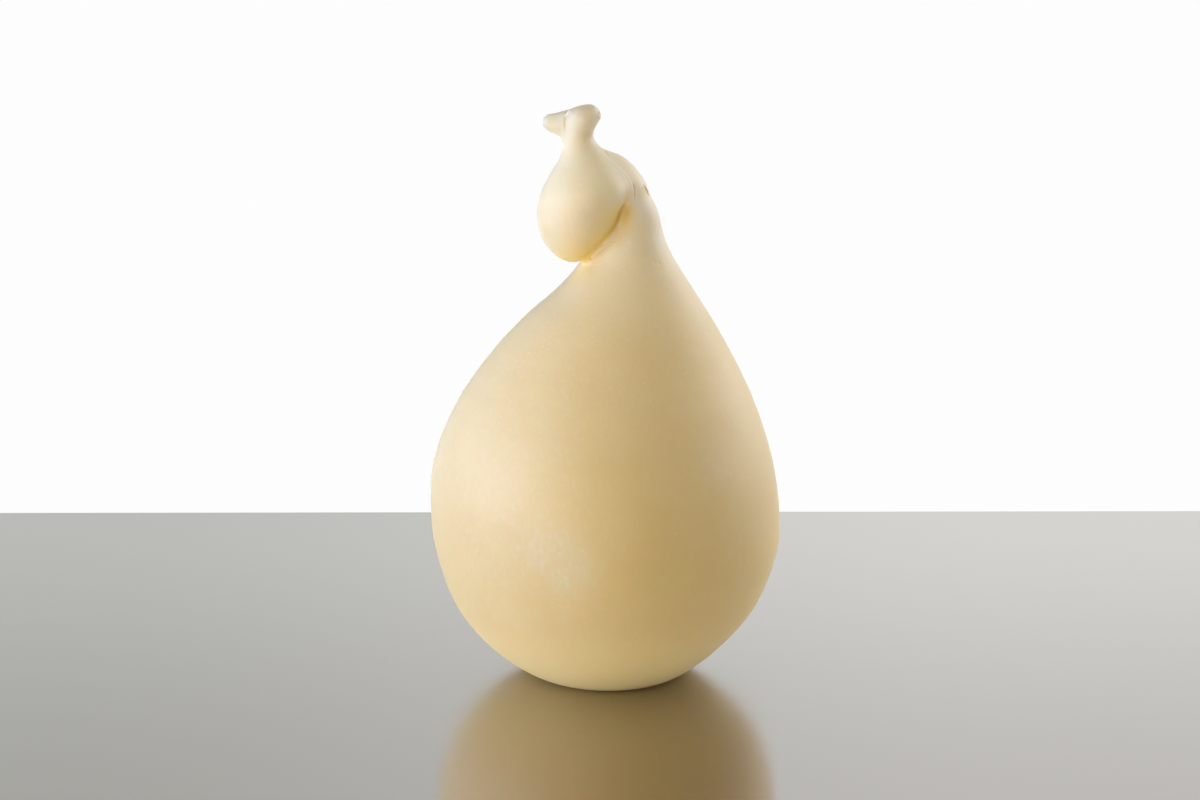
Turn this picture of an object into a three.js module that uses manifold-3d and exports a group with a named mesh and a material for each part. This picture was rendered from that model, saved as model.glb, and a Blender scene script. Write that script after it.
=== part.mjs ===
// A caciocavallo: a pear-shaped stretched-curd cheese whose tied-off head has folded over its neck.
// It is one solid in millimetres, +Z up, standing on its flattened foot. The head hangs to -X and
// a little to -Y, and ends in a pinched tip with one flap.
import * as THREE from "three";
import { mergeVertices } from "three/addons/utils/BufferGeometryUtils.js";
import Module from "manifold-3d";

// Driving dimensions
const BELLY_RADIUS = 73.6;
const BELLY_HEIGHT = 66;
const FOOT_RADIUS = 28.8;
const NECK_RADIUS = 13.2;
const FOLD_TOP = 223.5;
const HEAD_RADIUS = 18.6;
const HEAD_DEPTH = -8;
const TIP_RADIUS = 7.2;
const TIP_TOP = 241.8;

// A lobe is a stack of level rings. A station is one of them: [radius, centre x, centre y, height].
// The body narrows to the neck, and the neck folds over towards the head.
const BODY = [
  [FOOT_RADIUS, 1.2, -5, 0],
  [36.1, 0.5, -3, 3],
  [48.8, 0, -1, 12],
  [63.9, 0.2, 0, 30],
  [72.5, 0.4, 0, 54],
  [BELLY_RADIUS, 0, 0, BELLY_HEIGHT],
  [71.4, -1, 0, 90],
  [60.4, 0.3, 0, 120],
  [40.4, 4.5, 0, 150],
  [28.2, 7.9, 0, 164],
  [20.2, 9.2, 0, 174.6],
  [17.6, 9.2, 0, 179.2],
  [15.3, 9.4, -0.2, 184.4],
  [NECK_RADIUS, 9.6, -0.4, 191],
  [12.5, 9.4, -1, 195.5],
  [12, 8.3, -1.7, 199.8],
  [12, 6, -2.4, 203.8],
  [12.5, 4.2, -3, 208.4],
  [11.6, 2.2, -3.5, 213.2],
  [9.2, -0.1, -3.8, 218.1],
  [5.4, -1.4, -4, 221.5],
  [0, -2.6, -4, FOLD_TOP],
];

// The head is an egg that hangs point up. Its point is the stem of the tip.
const HEAD = [
  [0, -13.2, HEAD_DEPTH, 176.4],
  [5.4, -13.6, HEAD_DEPTH, 178.2],
  [9.2, -13.9, HEAD_DEPTH, 182],
  [12.5, -13.3, HEAD_DEPTH, 185.8],
  [16.5, -11.7, HEAD_DEPTH, 193.2],
  [17.5, -10.5, HEAD_DEPTH, 199.4],
  [HEAD_RADIUS, -7.9, HEAD_DEPTH, 205.7],
  [17, -7, HEAD_DEPTH, 211],
  [9.3, -8.7, HEAD_DEPTH, 221.6],
  [6.2, -11, HEAD_DEPTH, 227.2],
  [5.7, -10.7, HEAD_DEPTH, 230.6],
  [TIP_RADIUS, -9.3, HEAD_DEPTH, 236.6],
  [5.5, -8.8, HEAD_DEPTH, 240.2],
  [0, -6, HEAD_DEPTH, TIP_TOP],
];

// The flap of the tip is built upright and then laid over to -X, behind the stem.
const FLAP = [
  [0, 0, 0, -3],
  [7.4, -0.6, 0, 4],
  [5.5, 0, 0, 9.6],
  [4.5, 0.4, 0, 12],
  [3.5, 0.7, 0, 14.8],
  [2.3, 0.9, 0, 16.4],
  [0, 1, 0, 17.1],
];
const FLAP_ROOT = new THREE.Vector3(-9, HEAD_DEPTH + 3, 233);
const FLAP_FLATNESS = 0.8;

// Sides of each lobe, and rings from one station to the next
const BODY_FACES = { sides: 64, steps: 3 };
const HEAD_FACES = { sides: 44, steps: 3 };
const FLAP_FACES = { sides: 24, steps: 3 };

const RIND = { color: 0xe9d3a2, roughness: 0.45, metalness: 0 };

const wasm = await Module();
wasm.setup();

// A closed lobe with smooth sides through the stations. One that starts wide gets a flat foot.
function lobe(stations, { sides, steps }) {
  const count = (stations.length - 1) * steps;
  const side = new THREE.CatmullRomCurve3(stations.map(([r, , , z]) => new THREE.Vector3(r, z, 0)));
  const core = new THREE.CatmullRomCurve3(stations.map(([, x, y, z]) => new THREE.Vector3(x, y, z)));
  const profile = side.getPoints(count).map(({ x, y }) => new THREE.Vector2(Math.max(x, 0), y));
  const centres = core.getPoints(count);
  if (profile[0].x > 0) {
    profile.unshift(new THREE.Vector2(0, profile[0].y));
    centres.unshift(centres[0]);
  }
  const geometry = new THREE.LatheGeometry(profile, sides).rotateX(Math.PI / 2);
  const position = geometry.attributes.position;
  for (let i = 0; i < position.count; i++) {
    const centre = centres[i % centres.length];
    position.setXY(i, position.getX(i) + centre.x, position.getY(i) + centre.y);
  }
  return geometry;
}

// A geometry as a solid, with the vertices on its seam and at its poles merged.
function solid(geometry) {
  geometry.deleteAttribute("normal");
  geometry.deleteAttribute("uv");
  const merged = mergeVertices(geometry, 1e-3);
  return new wasm.Manifold(
    new wasm.Mesh({
      numProp: 3,
      vertProperties: merged.attributes.position.array,
      triVerts: new Uint32Array(merged.index.array),
    }),
  );
}

// A solid as a geometry again.
function surface(shape) {
  const { vertProperties, triVerts } = shape.getMesh();
  const geometry = new THREE.BufferGeometry();
  geometry.setAttribute("position", new THREE.BufferAttribute(vertProperties, 3));
  geometry.setIndex(new THREE.BufferAttribute(triVerts, 1));
  return geometry;
}

const body = lobe(BODY, BODY_FACES);
const head = lobe(HEAD, HEAD_FACES);
const flap = lobe(FLAP, FLAP_FACES)
  .scale(1, FLAP_FLATNESS, 1)
  .rotateY(-Math.PI / 2)
  .translate(FLAP_ROOT.x, FLAP_ROOT.y, FLAP_ROOT.z);

const whole = solid(body).add(solid(head)).add(solid(flap));
const cheese = new THREE.Mesh(surface(whole), new THREE.MeshStandardMaterial(RIND));
cheese.name = "cheese";

// The origin is under the middle of the cheese, at the level of its foot.
cheese.geometry.computeBoundingBox();
const middle = cheese.geometry.boundingBox.getCenter(new THREE.Vector3());
cheese.geometry.translate(-middle.x, -middle.y, 0);

const caciocavallo = new THREE.Group();
caciocavallo.add(cheese);

export default caciocavallo;
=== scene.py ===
"""The looks of the caciocavallo, on a pale table in soft light from the left.

A fine skin stands for the solid. It has the solid's form, with the folds and pleats of the neck worked
into it, and a waxy rind that lets a little light in. Lengths are in metres, and MM is a millimetre.
"""
import math
from collections import namedtuple

import bmesh
import bpy
import numpy as np
from mathutils import Euler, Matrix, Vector, noise
from mathutils.bvhtree import BVHTree
from mathutils.kdtree import KDTree


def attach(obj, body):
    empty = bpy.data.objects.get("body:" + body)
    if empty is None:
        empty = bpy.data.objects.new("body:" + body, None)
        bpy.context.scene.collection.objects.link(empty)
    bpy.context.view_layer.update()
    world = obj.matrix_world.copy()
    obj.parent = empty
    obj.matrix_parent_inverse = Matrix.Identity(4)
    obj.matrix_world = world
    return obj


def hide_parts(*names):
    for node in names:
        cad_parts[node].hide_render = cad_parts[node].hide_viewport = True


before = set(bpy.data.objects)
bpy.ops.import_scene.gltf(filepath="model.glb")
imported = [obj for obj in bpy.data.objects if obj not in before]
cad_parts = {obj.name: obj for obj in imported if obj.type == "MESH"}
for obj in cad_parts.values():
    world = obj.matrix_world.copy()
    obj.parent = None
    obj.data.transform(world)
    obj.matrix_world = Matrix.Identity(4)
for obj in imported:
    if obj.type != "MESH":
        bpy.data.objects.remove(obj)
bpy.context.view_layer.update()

MM = 0.001

# The photograph's frame and camera, which looks down by CAMERA_DIP degrees
IMAGE_WIDTH = 1200
IMAGE_HEIGHT = 800
LENS = 85
SENSOR = 36
CAMERA_DIP = 12.637
CAMERA_PLACE = Vector((-0.002364, -1.158163, 0.376310))
CAMERA_TURN = Euler((math.radians(90 - CAMERA_DIP), 0, 0))

# The skin's mesh: its grid, the heights from which it is finer and has marks, and how near a fold it
# is finest. Facets are taken out most below the neck. A pair of heights or the like, here and below, is
# where a smooth change starts and where it is complete.
WELD = 0.01 * MM
GRID = 1.5 * MM
HEAD_FROM = 170 * MM
HEAD_HEIGHTS = (HEAD_FROM, HEAD_FROM + 6 * MM)
NECK_HEIGHTS = (160 * MM, 180 * MM)
MARKS_FROM = 140 * MM
FOLD_REACH = 1.2 * MM

# The seam between head and neck is a deep crease up to CREASE_TOP. Above that the curd has grown
# together, up to the stem. The flap is joined to the tip from STEM_FROM on.
SEAM_ANGLE = math.radians(-20)
SEAM_STEPS = (0, 0.25, 0.5, 0.75, 1)
SEAM_SEARCH = 1 * MM
CREASE_TOP = 203 * MM
CREASE_END = CREASE_TOP + 3 * MM
STEM_FROM = 224 * MM
GROWN_WIDTH = 6 * MM
JOINT_WIDTH = 3.5 * MM

# Beside the crease the skin is drawn back onto the sharp solid, and softened a little after that.
SHARP_WIDTH = 2 * MM
SHARP_HEIGHTS = (CREASE_TOP - 3 * MM, CREASE_TOP)
LEAST_SHARE = 0.02
SOFT_WIDTH = 3 * MM

# The crease's groove, and painted light and shade beside it. Warm bounce light is painted in amber on the
# head's side, on faces that don't look up, and on both sides at the crease's lowest stretch. Above that,
# shade is painted in dark amber close by.
HEAD_MIDDLE = Vector((-10, -8, 196)) * MM
CREASE_HEIGHTS = (CREASE_TOP - 5 * MM, CREASE_TOP + 2 * MM)
CREASE_DEPTH = 0.08 * MM
CREASE_WIDTH = 0.5 * MM
BOUNCE_LIGHT_WIDTH = 10 * MM
BOUNCE_LIGHT_EDGE = 0.6 * MM
BOUNCE_LIGHT_FACING = (0.45, 0.15)
LOWEST_EDGE = 2 * MM
LOWEST_HEIGHTS = (188 * MM, 180 * MM)
PAINTED_SHADE_WIDTH = 2.2 * MM
PAINTED_SHADE_HEIGHTS = (184 * MM, 192 * MM)
PAINTED_SHADE_SHARE = 0.45

# Marks on the front, as lines in the photograph's pixels. A height below 0 is a groove. The fades are
# the shares of the line in which the mark comes up and dies away. The tints paint warm bounce light in
# amber, shade in dark amber, and a paler tint that is painted highlight on ridges and lines and the
# real colour of the neck's streaks.
Mark = namedtuple("Mark", "line height width fade_in fade_out glow honey pale", defaults=(0, 0, 0))
PLEAT = [(602, 153), (609, 159.5), (617, 167), (622.5, 174), (626, 181), (629, 189)]
FOLD_RIDGE = [(609, 157.5), (620, 168), (626, 175), (630, 181.5), (633, 187), (634, 193), (632, 205)]
FOLD_GAP = [(633, 183), (634.2, 190), (634.2, 196), (632.5, 203)]
PLEAT_TOP = [(601.5, 147.5), (605, 151), (609, 156.5)]
SECOND_FOLD = [(630.5, 203), (629.3, 209), (627.5, 215), (625, 220), (621.5, 226)]
HOLLOW = [(627.5, 191), (626, 198), (624.5, 205), (622, 212)]
BETWEEN_FOLDS = [(627, 203), (624, 213), (619, 224)]
NECK_SHADE = [(630, 204), (628, 214), (624, 226), (618, 237), (610, 247)]
LIP = [(643, 185), (645.5, 188), (647.5, 191.5), (649.5, 196)]
LIP_EDGE = [(642, 187), (645, 190.5), (647.5, 194.5)]
CREASE_THREAD = [(609, 241.5), (604, 246), (598.5, 250.5), (592, 256.5)]
CREASE_LINE = [(610, 244.5), (602, 250), (593, 259)]
STUB_EDGE = [(564.6, 115.5), (564.6, 121), (565, 127), (565.8, 132)]
STUB_RIM = [(566.3, 119), (566.2, 123), (566.3, 127), (567, 132)]
STUB_LOBE = [(571, 110.8), (569.2, 112.8), (568.7, 116.5)]
STUB_TOP = [(565.2, 114), (566.4, 111), (569.5, 108.8), (574.5, 108.2)]
STUB_CORNER = [(598.5, 112.5), (599.6, 115.2), (598.6, 118)]
FLAP_SHADE = [(562.3, 119), (561.8, 125), (562.5, 132)]
HEAD_EDGE_SHADE = [(556, 163), (546, 182), (541.5, 200), (540.5, 218), (546, 238)]
STREAKS = [
    [(655, 244), (658, 252), (660, 259)],
    [(660, 252), (663, 260), (666, 270)],
    [(690, 300), (697, 311), (703, 322)],
    [(702, 312), (709, 324), (714, 334)],
]
MARKS = [
    # Painted highlights: the pale tint on the pleat and the fold's ridge, where they catch the light
    Mark(PLEAT, 0.08 * MM, 0.4 * MM, 0.2, 0.3, pale=0.9),
    Mark(FOLD_RIDGE, 0.1 * MM, 0.4 * MM, 0.3, 0.2, pale=0.9),
    # Painted shade in dark amber along the grooves, the hollows between the folds and the neck beside the
    # crease, with painted amber bounce light in the hollows
    Mark(FOLD_GAP, -0.3 * MM, 0.45 * MM, 0.3, 0.4, honey=0.8),
    Mark(PLEAT_TOP, -0.25 * MM, 0.5 * MM, 0.4, 0.4, honey=0.3),
    Mark(SECOND_FOLD, -0.15 * MM, 1.4 * MM, 0.4, 0.5, honey=0.25),
    Mark(HOLLOW, -0.3 * MM, 1.2 * MM, 0.4, 0.3, glow=0.4),
    Mark(BETWEEN_FOLDS, -0.35 * MM, 2.8 * MM, 0.5, 0.5, glow=0.5, honey=0.3),
    Mark(NECK_SHADE, 0, 3 * MM, 0.3, 0.5, glow=0.2, honey=0.35),
    Mark(LIP, -0.9 * MM, 0.5 * MM, 0.5, 0.1, honey=0.8),
    # Painted highlights: the pale tint on the lip's edge and the thread beside the crease
    Mark(LIP_EDGE, 0.2 * MM, 0.4 * MM, 0.3, 0.3, pale=0.4),
    Mark(CREASE_THREAD, 0.1 * MM, 0.35 * MM, 0.3, 0.3, pale=0.3),
    Mark(CREASE_LINE, -0.1 * MM, 0.35 * MM, 0.3, 0.3, honey=0.15),
    # Painted shade in dark amber in the groove beside the stub
    Mark(STUB_EDGE, -0.5 * MM, 0.45 * MM, 0.2, 0.5, honey=0.4),
    # Painted highlights: the pale tint on the stub's rim and lobe
    Mark(STUB_RIM, 0.15 * MM, 0.5 * MM, 0.3, 0.4, pale=0.3),
    Mark(STUB_LOBE, 0.8 * MM, 1.9 * MM, 0.1, 0.3, pale=0.3),
    Mark(STUB_TOP, -0.5 * MM, 0.5 * MM, 0.3, 0.4),
    Mark(STUB_CORNER, 0.5 * MM, 1.9 * MM, 0.2, 0.2),
    Mark(FLAP_SHADE, 0, 2.2 * MM, 0.4, 0.5, honey=0.15),
    # Painted shade at the head's left edge
    Mark(HEAD_EDGE_SHADE, 0, 3.5 * MM, 0.3, 0.3, honey=0.2),
] + [Mark(streak, 0.06 * MM, 0.4 * MM, 0.4, 0.4, pale=0.3) for streak in STREAKS]

# Small pits and pale grains near the neck, in the photograph's pixels
PITS = [(648.3, 221), (654, 262), (659, 263)]
GRAINS = [(614.2, 233), (613.7, 243), (630, 241.7), (628, 250)]
PIT_DEPTH = 0.3 * MM
GRAIN_HEIGHT = 0.2 * MM
GRAIN_PALE = 0.6
SPOT_WIDTH = 0.6 * MM

# Wide soft patches of a tint, in the photograph's pixels
TINTS = ("glow", "honey", "pale", "bloom_and_sheen")
Patch = namedtuple("Patch", "pixels width tint share")
BLOOM_SPOTS = [(562, 556), (570, 578), (545, 548), (720, 465)]
# Painted sheen: a broad pale haze on the lit left side
PAINTED_SHEEN_SPOTS = [(485, 490), (500, 440), (490, 570)]
# Paler spots on the neck's right
NECK_PALE_SPOTS = [(651, 212), (640, 176), (660, 240), (641, 205)]
# Painted warm bounce light on the lower body
WARM_BOUNCE_SPOTS = [(700, 610), (640, 530)]
PATCHES = [
    Patch(BLOOM_SPOTS, 9 * MM, "bloom_and_sheen", 0.8),
    Patch(PAINTED_SHEEN_SPOTS, 36 * MM, "bloom_and_sheen", 0.3),
    Patch(NECK_PALE_SPOTS, 5 * MM, "pale", 0.5),
    Patch(WARM_BOUNCE_SPOTS, 40 * MM, "glow", 0.2),
]

# The unevenness of hand-stretched curd, wide swells with smaller ones on them, which spares the foot
SWELL_HEIGHT = 0.25 * MM
SWELL_SIZE = 38 * MM
DIMPLE_HEIGHT = 0.06 * MM
DIMPLE_SIZE = 11 * MM
UNEVEN_HEIGHTS = (1 * MM, 12 * MM)

# The rind's colours, as linear light, and the heights at which some of them come in
STRAW = (0.86, 0.66, 0.33, 1)
DEEP_STRAW = (0.84, 0.63, 0.30, 1)
# Painted bounce light: the rind is lighter towards the foot
FOOT_BOUNCE_LIGHT = (0.96, 0.73, 0.36, 1)
FOOT_BOUNCE_HEIGHTS = (38 * MM, 14 * MM)
CREAM = (0.90, 0.79, 0.58, 1)
CREAM_HEIGHTS = (140 * MM, 200 * MM)
TIP_CREAM = (0.86, 0.77, 0.62, 1)
TIP_HEIGHTS = (222 * MM, 236 * MM)
# Painted shade: darker at the very top of the stub
TIP_TOP_SHADE = (0.74, 0.63, 0.50, 1)
TIP_TOP_SHADE_HEIGHTS = (235 * MM, 242 * MM)
# Painted bounce light: warm amber in the folds, on faces that don't look up, and on the lower body
BOUNCE_LIGHT_AMBER = (1.0, 0.74, 0.21, 1)
# Painted shade: dark amber in the creases and grooves, at the head's left edge and beside the flap
PAINTED_SHADE_AMBER = (0.72, 0.48, 0.10, 1)
# Chalky white for the bloom, the specks and the streaks, and for painted highlights and painted sheen
CHALK_AND_HIGHLIGHT = (0.92, 0.87, 0.76, 1)

# The sizes of the rind's patterns, how they are drawn out upwards, the heights of the neck's streaks, and
# how deep light goes into the rind, with the shares of that for red, green and blue
CLOUD_SIZE = 22 * MM
BLOTCH_SIZE = 2.2 * MM
BLOTCH_STRETCH = (1, 1, 1.5)
STREAK_SIZE = 1.4 * MM
STREAK_STRETCH = (1, 1, 9)
STREAK_HEIGHTS = (105 * MM, 170 * MM)
SPECK_SPACING = 6.5 * MM
FINE_SIZE = 0.9 * MM
BUMP_HEIGHT = 1 * MM
LIGHT_DEPTH = 9 * MM
LIGHT_SHARES = (1.0, 0.7, 0.4)

# The table top, whose right end stands a little further back. Its greys are linear light.
TABLE_BACK = 0.256
TABLE_FRONT = -1.5
TABLE_HALF_WIDTH = 1.6
TABLE_SKEW = 0.0095
TABLE_NEAR = (0.420, 0.383, 0.333, 1)
TABLE_FAR = (0.548, 0.504, 0.440, 1)
TABLE_DEPTHS = (-0.2, 0.25)
BRUSH_SIZE = 4 * MM
BRUSH_STRETCH = (12, 1, 1)

# The white that the camera sees, and the room that the cheese and the table mirror: cool white, dimmer
# left of the middle, and with a bright window far to the left. A side is -1 for left and 1 for right.
BACKDROP = (0.985, 0.985, 0.985, 1)
ROOM_LEFT = (0.775, 0.825, 0.86, 1)
ROOM_RIGHT = (1.045, 1.09, 1.155, 1)
ROOM_SIDES = (-0.2, 0.16)
WINDOW = (2.4, 2.6, 3.0, 1)
WINDOW_SIDES = (-0.3, -0.8)

# Square panels of soft light, with their power in watts. The spread is the angle in degrees that a
# panel's light fans out to.
AIM = Vector((0, 0, 0.1))
Panel = namedtuple("Panel", "name place size power colour aim spread", defaults=(AIM, 180))
PANELS = [
    Panel("key", (-1.22, -0.44, 0.22), 0.5, 4.6, (1.0, 1.2, 1.7)),
    Panel("rim", (1.04, 0.60, 0.59), 1.0, 9.8, (1.0, 0.97, 0.95)),
    Panel("top", (0, -0.23, 1.38), 1.2, 6.2, (1.0, 0.99, 0.77)),
    Panel("front", (-0.65, -1.12, 0.17), 0.3, 3.8, (1.0, 0.89, 0.64)),
    Panel("bounce", (-0.15, -0.42, 0.04), 0.15, 0.011, (1.0, 0.8, 0.5), HEAD_MIDDLE, 30),
]

# A point of an edge where the solid turns inwards, with the way out of the fold
Seam = namedtuple("Seam", "place out")


def weld(mesh):
    """A copy of a mesh in which the points that share a place are one."""
    made = bmesh.new()
    made.from_mesh(mesh)
    bmesh.ops.remove_doubles(made, verts=made.verts, dist=WELD)
    return made


def seams_of(solid):
    """Points along the edges where a welded solid turns inwards."""
    found = []
    for edge in solid.edges:
        if len(edge.link_faces) == 2 and edge.calc_face_angle_signed(0) < SEAM_ANGLE:
            out = (edge.link_faces[0].normal + edge.link_faces[1].normal).normalized()
            first, last = (vert.co for vert in edge.verts)
            found += [Seam(first.lerp(last, share), out) for share in SEAM_STEPS]
    return found


def evenly_meshed(solid, name):
    """A new object with the shape of a welded solid and an even mesh of small quads."""
    mesh = bpy.data.meshes.new(name)
    solid.to_mesh(mesh)
    skin = bpy.data.objects.new(name, mesh)
    bpy.context.scene.collection.objects.link(skin)
    remesh = skin.modifiers.new("remesh", "REMESH")
    remesh.mode = "VOXEL"
    remesh.voxel_size = GRID
    shaped = skin.evaluated_get(bpy.context.evaluated_depsgraph_get())
    skin.data = bpy.data.meshes.new_from_object(shaped)
    skin.modifiers.clear()
    return skin


def refine(mesh, wanted):
    """Splits the faces whose middle is wanted into four."""
    made = bmesh.new()
    made.from_mesh(mesh)
    edges = {edge for face in made.faces if wanted(face.calc_center_median()) for edge in face.edges}
    bmesh.ops.subdivide_edges(made, edges=list(edges), cuts=1, use_grid_fill=True)
    made.to_mesh(mesh)
    made.free()


def points_of(mesh):
    """The places of a mesh's points, one row each."""
    flat = np.empty(len(mesh.vertices) * 3)
    mesh.vertices.foreach_get("co", flat)
    return flat.reshape(-1, 3)


def put_points(mesh, points):
    """Moves a mesh's points to new places."""
    mesh.vertices.foreach_set("co", points.ravel())
    mesh.update()


def normals_of(mesh):
    """The directions out of a mesh at its points."""
    flat = np.empty(len(mesh.vertices) * 3)
    mesh.vertex_normals.foreach_get("vector", flat)
    return flat.reshape(-1, 3)


def relax(mesh, rounds, share, steps=(0.5, -0.52)):
    """Evens out a mesh. Each step moves the points towards the middle of their neighbours by a part of
    the way, or away from it, so that a pair of steps takes facets out and keeps the size. The share,
    one number a point, says how much of a step a point takes."""
    points = points_of(mesh)
    flat = np.empty(len(mesh.edges) * 2, np.int32)
    mesh.edges.foreach_get("vertices", flat)
    first, last = flat.reshape(-1, 2).T
    count = len(points)
    neighbours = np.bincount(flat, minlength=count)
    weight = (share / neighbours)[:, None]
    for _ in range(rounds):
        for step in steps:
            pull = np.stack(
                [
                    np.bincount(first, axis[last], count) + np.bincount(last, axis[first], count)
                    for axis in points.T
                ],
                1,
            )
            points = points + step * weight * (pull - neighbours[:, None] * points)
    put_points(mesh, points)


def ramp(value, low, high):
    """A smooth rise from 0 at low to 1 at high."""
    t = np.clip((value - low) / (high - low), 0, 1)
    return t * t * (3 - 2 * t)


def bell(distance, width):
    """1 on a line, falling smoothly to nothing beside it."""
    return np.exp(-((distance / width) ** 2))


def tree_of(places):
    """Some places, for finding the nearest of them."""
    tree = KDTree(len(places))
    for i, place in enumerate(places):
        tree.insert(place, i)
    tree.balance()
    return tree


def nearest(points, places):
    """How far each point is from the nearest of some places, and which of them that is."""
    tree = tree_of(places)
    found = [tree.find(point) for point in points]
    return np.array([f[2] for f in found]), np.array([f[1] for f in found])


def rounded(line, rounds=4):
    """A line with its corners cut again and again until it is smooth."""
    line = np.array(line, float)
    for _ in range(rounds):
        near = 0.75 * line[:-1] + 0.25 * line[1:]
        far = 0.25 * line[:-1] + 0.75 * line[1:]
        middle = np.stack([near, far], 1).reshape(-1, 2)
        line = np.vstack([line[:1], middle, line[-1:]])
    return line


def surface_tree(mesh):
    """A mesh's surface, for finding where a ray meets it."""
    mesh.calc_loop_triangles()
    corners = [tuple(triangle.vertices) for triangle in mesh.loop_triangles]
    return BVHTree.FromPolygons([vert.co for vert in mesh.vertices], corners)


def seen_at(tree, pixel):
    """The place on a surface that the photograph shows at a pixel."""
    focal = LENS / SENSOR * IMAGE_WIDTH
    x = (pixel[0] - IMAGE_WIDTH / 2) / focal
    y = (IMAGE_HEIGHT / 2 - pixel[1]) / focal
    return tree.ray_cast(CAMERA_PLACE, CAMERA_TURN.to_matrix() @ Vector((x, y, -1)))[0]


def laid_on(tree, line):
    """The places that the photograph shows along a line of pixels, without those beside the surface."""
    places = [seen_at(tree, pixel) for pixel in rounded(line)]
    return [place for place in places if place]


def store(mesh, name, values):
    """Keeps one number a point with a mesh, for its material."""
    held = mesh.attributes.new(name, "FLOAT", "POINT")
    held.data.foreach_set("value", np.clip(values, 0, 1).astype(np.float32))


def smooth_form(mesh, seams):
    """Takes the facets out of the body and head, and closes the seams where curd has grown together."""
    points = points_of(mesh)
    relax(mesh, 10, np.ones(len(points)))
    relax(mesh, 100, 1 - ramp(points[:, 2], *NECK_HEIGHTS))
    grown = [seam.place for seam in seams if CREASE_TOP < seam.place.z < STEM_FROM]
    relax(mesh, 30, bell(nearest(points, grown)[0], GROWN_WIDTH), steps=(0.5,))
    joint = [seam.place for seam in seams if seam.place.z >= STEM_FROM]
    relax(mesh, 12, bell(nearest(points, joint)[0], JOINT_WIDTH), steps=(0.5,))


def add_points(mesh, crease):
    """Gives the head a finer mesh, and the folds and marks the finest."""
    refine(mesh, lambda middle: middle.z > HEAD_FROM)
    relax(mesh, 8, ramp(points_of(mesh)[:, 2], *HEAD_HEIGHTS))
    surface = surface_tree(mesh)
    guides = [seam.place for seam in crease]
    for mark in MARKS:
        guides += laid_on(surface, mark.line)
    tree = tree_of(guides)
    for _ in range(2):
        refine(mesh, lambda middle: tree.find(middle)[2] < FOLD_REACH)
    relax(mesh, 6, ramp(points_of(mesh)[:, 2], *HEAD_HEIGHTS))


def sharpen(mesh, solid, crease):
    """Draws the skin beside the crease back onto the solid, which is sharp there."""
    points = points_of(mesh)
    distance, _ = nearest(points, [seam.place for seam in crease])
    share = bell(distance, SHARP_WIDTH) * (1 - ramp(points[:, 2], *SHARP_HEIGHTS))
    tree = BVHTree.FromBMesh(solid)
    for i in np.flatnonzero(share > LEAST_SHARE):
        points[i] += share[i] * (np.array(tree.find_nearest(Vector(points[i]))[0]) - points[i])
    put_points(mesh, points)
    relax(mesh, 12, bell(distance, SOFT_WIDTH), steps=(0.5,))


class Relief:
    """What is worked into a mesh: how far each point rises, and how strong each tint of the rind is
    there. The crease and the marks change only the points of the head and neck."""

    def __init__(self, mesh):
        self.surface = surface_tree(mesh)
        self.points = points_of(mesh)
        self.normals = normals_of(mesh)
        self.head = np.flatnonzero(self.points[:, 2] > MARKS_FROM)
        self.rise = np.zeros(len(self.points))
        self.tints = {name: np.zeros(len(self.points)) for name in TINTS}

    def add_to_head(self, strength, rise=0, **tints):
        """Raises and tints the points of the head and neck. The strength is one number a point."""
        self.rise[self.head] += rise * strength
        for name, share in tints.items():
            self.tints[name][self.head] += share * strength

    def put_on(self, mesh):
        """Moves the mesh's points, none of them below the table, and keeps the tints with the mesh."""
        points = self.points + self.normals * self.rise[:, None]
        points[:, 2] = np.maximum(points[:, 2], 0)
        put_points(mesh, points)
        for name in TINTS:
            store(mesh, name, self.tints[name])


def towards_head(seam):
    """The way along the surface from a point of the crease to the head's side of it."""
    side = HEAD_MIDDLE - seam.place
    return (side - side.dot(seam.out) * seam.out).normalized()


def add_crease(relief, crease):
    """Cuts the crease's groove and paints amber bounce light and dark amber shade on the curd beside it."""
    places = []
    for seam in crease:
        found = relief.surface.ray_cast(seam.place - SEAM_SEARCH * seam.out, seam.out)[0]
        places.append(found or seam.place)
    sides = [towards_head(seam) for seam in crease]
    points = relief.points[relief.head]
    distance, which = nearest(points, places)
    offset = ((points - np.array(places)[which]) * np.array(sides)[which]).sum(1)
    height = points[:, 2]
    low = 1 - ramp(height, *CREASE_HEIGHTS)
    lowest = ramp(height, *LOWEST_HEIGHTS)
    facing = np.maximum(ramp(relief.normals[relief.head, 2], *BOUNCE_LIGHT_FACING), lowest)
    edge = BOUNCE_LIGHT_EDGE + LOWEST_EDGE * lowest
    # Painted bounce light on the head's side of the crease, on faces that don't look up
    bounce_light_mask = low * facing * ramp(offset, -edge, edge)
    relief.add_to_head(low * bell(distance, CREASE_WIDTH), -CREASE_DEPTH)
    relief.add_to_head(bounce_light_mask * bell(distance, BOUNCE_LIGHT_WIDTH), glow=1)
    # Painted shade in dark amber close beside the crease
    crease_shade = bounce_light_mask * bell(distance, PAINTED_SHADE_WIDTH) * ramp(height, *PAINTED_SHADE_HEIGHTS)
    relief.add_to_head(crease_shade, honey=PAINTED_SHADE_SHARE)


def add_marks(relief):
    """Works the marks in, strongest on their lines and weaker towards the ends."""
    points = relief.points[relief.head]
    for mark in MARKS:
        line = laid_on(relief.surface, mark.line)
        distance, which = nearest(points, line)
        along = which / (len(line) - 1)
        strength = ramp(along, 0, mark.fade_in) * ramp(1 - along, 0, mark.fade_out)
        strength = strength * bell(distance, mark.width)
        relief.add_to_head(strength, mark.height, glow=mark.glow, honey=mark.honey, pale=mark.pale)


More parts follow.
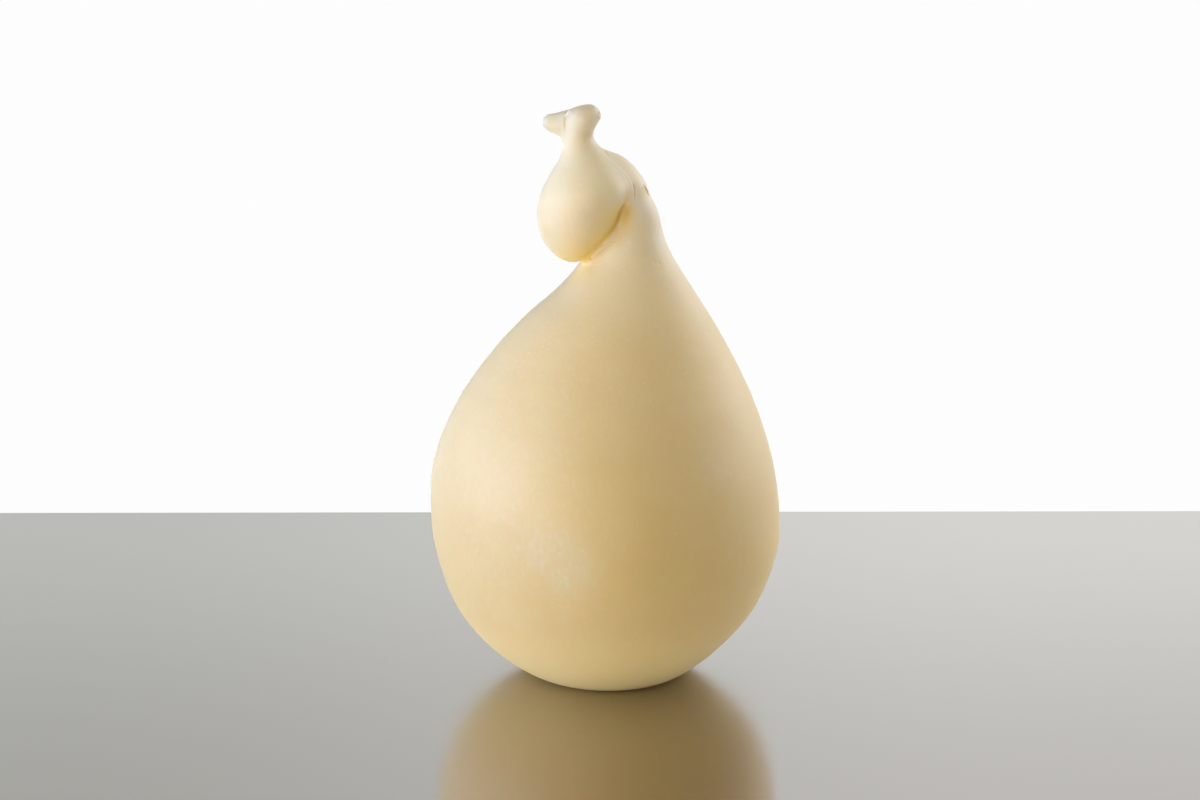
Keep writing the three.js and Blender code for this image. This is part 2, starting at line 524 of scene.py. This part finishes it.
def add_spots(relief):
    """Presses in the small pits and sets the pale grains on."""
    points = relief.points[relief.head]
    for pixels, rise, pale in ((PITS, -PIT_DEPTH, 0), (GRAINS, GRAIN_HEIGHT, GRAIN_PALE)):
        for pixel in pixels:
            distance, _ = nearest(points, [seen_at(relief.surface, pixel)])
            relief.add_to_head(bell(distance, SPOT_WIDTH), rise, pale=pale)


def add_patches(relief):
    """Tints the wide soft patches."""
    for patch in PATCHES:
        for pixel in patch.pixels:
            distance, _ = nearest(relief.points, [seen_at(relief.surface, pixel)])
            relief.tints[patch.tint] += patch.share * bell(distance, patch.width)


def unevenness(point):
    """How far hand-stretched curd stands out at a place."""
    swell = SWELL_HEIGHT * noise.noise(Vector(point) / SWELL_SIZE)
    return swell + DIMPLE_HEIGHT * noise.noise(Vector(point) / DIMPLE_SIZE)


def add_unevenness(relief):
    """Makes the skin uneven, but for the foot, which stays flat."""
    uneven = np.array([unevenness(point) for point in relief.points])
    relief.rise += ramp(relief.points[:, 2], *UNEVEN_HEIGHTS) * uneven


def carve(mesh, crease):
    """Works the crease, the marks and the unevenness into the skin, and keeps where the rind has painted
    bounce light, painted shade, a paler tint that is partly painted highlight, or a bloom and painted sheen."""
    relief = Relief(mesh)
    add_crease(relief, crease)
    add_marks(relief)
    add_spots(relief)
    add_patches(relief)
    add_unevenness(relief)
    relief.put_on(mesh)


def make_skin(node):
    """The cheese's skin, in the form of its solid."""
    solid = weld(node.data)
    seams = seams_of(solid)
    crease = [seam for seam in seams if seam.place.z <= CREASE_END]
    skin = evenly_meshed(solid, "cheese_skin")
    smooth_form(skin.data, seams)
    add_points(skin.data, crease)
    sharpen(skin.data, solid, crease)
    carve(skin.data, crease)
    solid.free()
    skin.data.shade_smooth()
    skin.data.materials.append(rind_material())
    return skin


class Nodes:
    """Adds nodes to a tree, with their settings, and links what is given as another node's output."""

    def __init__(self, tree):
        self.tree = tree
        tree.nodes.clear()

    def add(self, kind, inputs=None, **settings):
        node = self.tree.nodes.new(kind)
        for name, value in settings.items():
            setattr(node, name, value)
        for name, value in (inputs or {}).items():
            if isinstance(value, bpy.types.NodeSocket):
                self.tree.links.new(value, node.inputs[name])
            else:
                node.inputs[name].default_value = value
        return node

    def math(self, operation, first, second):
        return self.add("ShaderNodeMath", {0: first, 1: second}, operation=operation).outputs[0]

    def times(self, first, second):
        return self.math("MULTIPLY", first, second)

    def plus(self, first, second):
        return self.math("ADD", first, second)

    def larger(self, first, second):
        return self.math("MAXIMUM", first, second)

    def ramp(self, value, low, high):
        node = self.add("ShaderNodeMapRange", {0: value, 1: low, 2: high}, interpolation_type="SMOOTHSTEP")
        return node.outputs[0]

    def mix(self, share, first, second, blend="MIX"):
        inputs = {0: share, 6: first, 7: second}
        return self.add("ShaderNodeMix", inputs, data_type="RGBA", blend_type=blend).outputs[2]

    def held(self, name):
        return self.add("ShaderNodeAttribute", attribute_name=name).outputs["Fac"]

    def noise(self, place, size, detail=2, stretch=(1, 1, 1)):
        mapped = self.add("ShaderNodeMapping", {"Vector": place, "Scale": [1 / (size * s) for s in stretch]})
        made = self.add("ShaderNodeTexNoise", {"Vector": mapped.outputs[0], "Scale": 1, "Detail": detail})
        return made.outputs[0]


def rind_material():
    """A waxy rind: straw yellow, lighter towards the foot with painted bounce light, creamier at the head,
    with painted shade at the very top, painted amber bounce light and dark amber painted shade in the
    folds, a chalky bloom in patches with painted sheen on the lit side, tiny whitish specks, whitish
    lines of painted highlight, and faint streaks where the neck was stretched."""
    material = bpy.data.materials.new("rind")
    material.use_nodes = True
    n = Nodes(material.node_tree)
    place = n.add("ShaderNodeTexCoord").outputs["Object"]
    height = n.add("ShaderNodeSeparateXYZ", {0: place}).outputs[2]

    cloud = n.noise(place, CLOUD_SIZE, 4)
    blotch = n.ramp(n.noise(place, BLOTCH_SIZE, 3, BLOTCH_STRETCH), 0.45, 0.75)
    streak = n.ramp(n.noise(place, STREAK_SIZE, 2, STREAK_STRETCH), 0.52, 0.75)
    streak = n.times(n.ramp(height, *STREAK_HEIGHTS), streak)
    cell = n.add("ShaderNodeTexVoronoi", {"Vector": place, "Scale": 1 / SPECK_SPACING})
    speck = n.ramp(cell.outputs["Distance"], 0.085, 0.05)
    fine = n.noise(place, FINE_SIZE, 3)

    colour = n.mix(n.ramp(cloud, 0.3, 0.75), STRAW, DEEP_STRAW)
    # Painted bounce light, lighter towards the foot
    colour = n.mix(n.ramp(height, *FOOT_BOUNCE_HEIGHTS), colour, FOOT_BOUNCE_LIGHT)
    colour = n.mix(n.times(n.ramp(height, *CREAM_HEIGHTS), 0.9), colour, CREAM)
    colour = n.mix(n.ramp(height, *TIP_HEIGHTS), colour, TIP_CREAM)
    # Painted shade at the very top of the stub
    colour = n.mix(n.ramp(height, *TIP_TOP_SHADE_HEIGHTS), colour, TIP_TOP_SHADE)
    # Painted warm bounce light in amber
    colour = n.mix(n.held("glow"), colour, BOUNCE_LIGHT_AMBER)
    # Painted shade in dark amber
    colour = n.mix(n.held("honey"), colour, PAINTED_SHADE_AMBER)
    # A chalky bloom in patches, and painted sheen on the lit left side
    bloom_and_sheen = n.times(n.held("bloom_and_sheen"), n.plus(0.22, n.times(blotch, 0.22)))
    colour = n.mix(n.plus(bloom_and_sheen, n.times(blotch, 0.06)), colour, CHALK_AND_HIGHLIGHT)
    colour = n.mix(n.times(streak, 0.18), colour, CHALK_AND_HIGHLIGHT)
    # Pale specks, and pale marks that are partly painted highlights
    colour = n.mix(n.larger(n.times(speck, 0.45), n.held("pale")), colour, CHALK_AND_HIGHLIGHT)

    relief = n.plus(n.times(fine, 0.05), n.times(blotch, 0.04))
    relief = n.plus(relief, n.times(streak, 0.06))
    relief = n.plus(relief, n.times(speck, 0.1))
    bump = n.add("ShaderNodeBump", {"Height": relief, "Distance": BUMP_HEIGHT, "Strength": 0.6})
    rind = n.add(
        "ShaderNodeBsdfPrincipled",
        {
            "Base Color": colour,
            "Roughness": n.plus(0.5, n.times(n.plus(cloud, blotch), 0.06)),
            "Normal": bump.outputs[0],
            "IOR": 1.5,
            "Specular IOR Level": 0.8,
            "Subsurface Weight": 0.85,
            "Subsurface Radius": LIGHT_SHARES,
            "Subsurface Scale": LIGHT_DEPTH,
        },
    )
    n.add("ShaderNodeOutputMaterial", {"Surface": rind.outputs[0]})
    return material


def table_material():
    """Pale warm grey metal, lighter to the back, and brushed from side to side so that what it mirrors
    is drawn out towards the front and back."""
    material = bpy.data.materials.new("table")
    material.use_nodes = True
    n = Nodes(material.node_tree)
    place = n.add("ShaderNodeTexCoord").outputs["Object"]
    depth = n.add("ShaderNodeSeparateXYZ", {0: place}).outputs[1]
    brush = n.noise(place, BRUSH_SIZE, 2, BRUSH_STRETCH)
    satin = n.add(
        "ShaderNodeBsdfPrincipled",
        {
            "Base Color": n.mix(n.ramp(depth, *TABLE_DEPTHS), TABLE_NEAR, TABLE_FAR),
            "Roughness": n.plus(0.12, n.times(brush, 0.05)),
            "Metallic": 1,
            "Anisotropic": 0.9,
            "Tangent": n.add("ShaderNodeCombineXYZ", {"Y": 1}).outputs[0],
        },
    )
    n.add("ShaderNodeOutputMaterial", {"Surface": satin.outputs[0]})
    return material


def make_table():
    """The top of the table, from far in front to a straight edge behind the cheese."""
    corners = [
        (-TABLE_HALF_WIDTH, TABLE_FRONT, 0),
        (TABLE_HALF_WIDTH, TABLE_FRONT, 0),
        (TABLE_HALF_WIDTH, TABLE_BACK + TABLE_SKEW, 0),
        (-TABLE_HALF_WIDTH, TABLE_BACK - TABLE_SKEW, 0),
    ]
    mesh = bpy.data.meshes.new("table")
    mesh.from_pydata(corners, [], [(0, 1, 2, 3)])
    mesh.materials.append(table_material())
    table = bpy.data.objects.new("table", mesh)
    bpy.context.scene.collection.objects.link(table)
    return table


def add_light(panel):
    """A panel's light, which faces what it is aimed at and isn't seen itself."""
    light = bpy.data.lights.new(panel.name, "AREA")
    light.size = panel.size
    light.energy = panel.power
    light.color = panel.colour
    light.spread = math.radians(panel.spread)
    lamp = bpy.data.objects.new(panel.name, light)
    lamp.location = panel.place
    lamp.rotation_euler = (panel.aim - Vector(panel.place)).to_track_quat("-Z", "Y").to_euler()
    lamp.visible_camera = False
    bpy.context.scene.collection.objects.link(lamp)


def make_surround():
    """A white backdrop for the camera and a room for mirrors. The panels give all other light."""
    world = bpy.data.worlds.new("surround")
    world.use_nodes = True
    n = Nodes(world.node_tree)
    way = n.add("ShaderNodeTexCoord").outputs["Generated"]
    aside = n.add("ShaderNodeSeparateXYZ", {0: way}).outputs[0]
    path = n.add("ShaderNodeLightPath").outputs
    colour = n.mix(n.ramp(aside, *ROOM_SIDES), ROOM_LEFT, ROOM_RIGHT)
    colour = n.mix(n.ramp(aside, *WINDOW_SIDES), colour, WINDOW, "ADD")
    colour = n.mix(path["Is Camera Ray"], colour, BACKDROP)
    seen = n.larger(path["Is Camera Ray"], path["Is Glossy Ray"])
    light = n.add("ShaderNodeBackground", {"Color": colour, "Strength": seen})
    n.add("ShaderNodeOutputWorld", {"Surface": light.outputs[0]})
    bpy.context.scene.world = world


def make_camera():
    """The photograph's camera."""
    data = bpy.data.cameras.new("camera")
    data.lens = LENS
    data.sensor_width = SENSOR
    camera = bpy.data.objects.new("camera", data)
    camera.location = CAMERA_PLACE
    camera.rotation_euler = CAMERA_TURN
    bpy.context.scene.collection.objects.link(camera)
    bpy.context.scene.camera = camera


skin = make_skin(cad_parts["cheese"])
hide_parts("cheese")
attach(skin, "root")

make_table()
make_surround()
for panel in PANELS:
    add_light(panel)
make_camera()
bpy.context.scene.view_settings.view_transform = "Standard"
